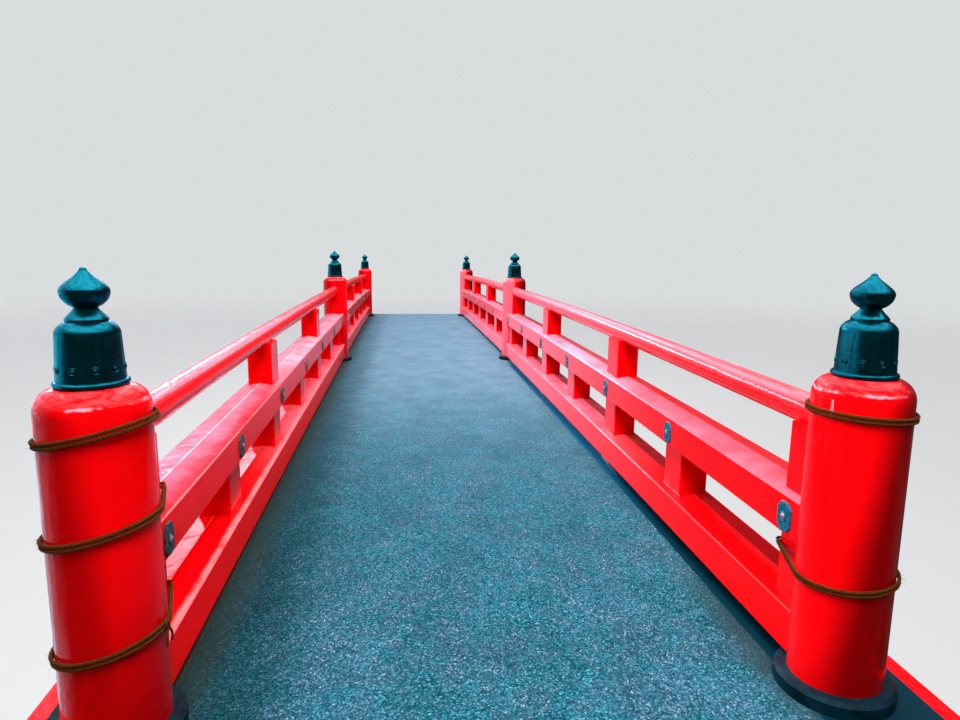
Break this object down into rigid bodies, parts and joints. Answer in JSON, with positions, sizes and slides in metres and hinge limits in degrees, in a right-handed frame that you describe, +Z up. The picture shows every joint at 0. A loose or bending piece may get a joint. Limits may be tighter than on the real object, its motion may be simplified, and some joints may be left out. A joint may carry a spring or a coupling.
{
  "type": "low-arched garden footbridge",
  "caption": "Gently arched red footbridge with round posts, onion finials, round handrails over two lower rails and short struts, on girders, a timber pier and stone abutments.",
  "frame": {"origin": "centre of the footprint at ground level, under the middle of the bridge", "axes": "+Z up, +Y along the walkway from the near end to the far end, +X to the right of someone walking to the far end"},
  "size_m": [2.59, 12.5, 2.927],
  "materials": {
    "red_paint": "thick glossy vermilion paint on timber",
    "dark_patina": "polished dark blue-green patina",
    "dark_metal": "satin dark paint",
    "surfacing": "rough granular blue-grey surfacing",
    "dark_timber": "dark weathered timber",
    "masonry": "coursed rough-faced stone",
    "rope": "coarse brown palm fibre"
  },
  "bodies": {
    "root": {"abutment_near": "masonry", "abutment_far": "masonry", "bearing_sills": "dark_timber", "pier_columns": "dark_timber", "pier_ties": "dark_timber", "pier_cap": "dark_timber", "girder_left": "red_paint", "girder_middle": "red_paint", "girder_right": "red_paint", "cross_beams": "red_paint", "deck_planks": "dark_timber", "deck_surfacing": "surfacing", "edge_board_left": "red_paint", "edge_board_right": "red_paint", "post_left_near": "red_paint", "post_left_middle": "red_paint", "post_left_far": "red_paint", "post_right_near": "red_paint", "post_right_middle": "red_paint", "post_right_far": "red_paint", "finial_left_near": "dark_patina", "finial_left_middle": "dark_patina", "finial_left_far": "dark_patina", "finial_right_near": "dark_patina", "finial_right_middle": "dark_patina", "finial_right_far": "dark_patina", "post_collars": "dark_metal", "rail_feet": "dark_timber", "bottom_rail_left_near": "red_paint", "bottom_rail_left_far": "red_paint", "bottom_rail_right_near": "red_paint", "bottom_rail_right_far": "red_paint", "lower_struts_left": "red_paint", "lower_struts_right": "red_paint", "mid_rail_left_near": "red_paint", "mid_rail_left_far": "red_paint", "mid_rail_right_near": "red_paint", "mid_rail_right_far": "red_paint", "upper_struts_left": "red_paint", "upper_struts_right": "red_paint", "top_rail_left_near": "red_paint", "top_rail_left_far": "red_paint", "top_rail_right_near": "red_paint", "top_rail_right_far": "red_paint", "nail_covers": "dark_patina", "rope_lashings": "rope"}
  },
  "joints": []
}
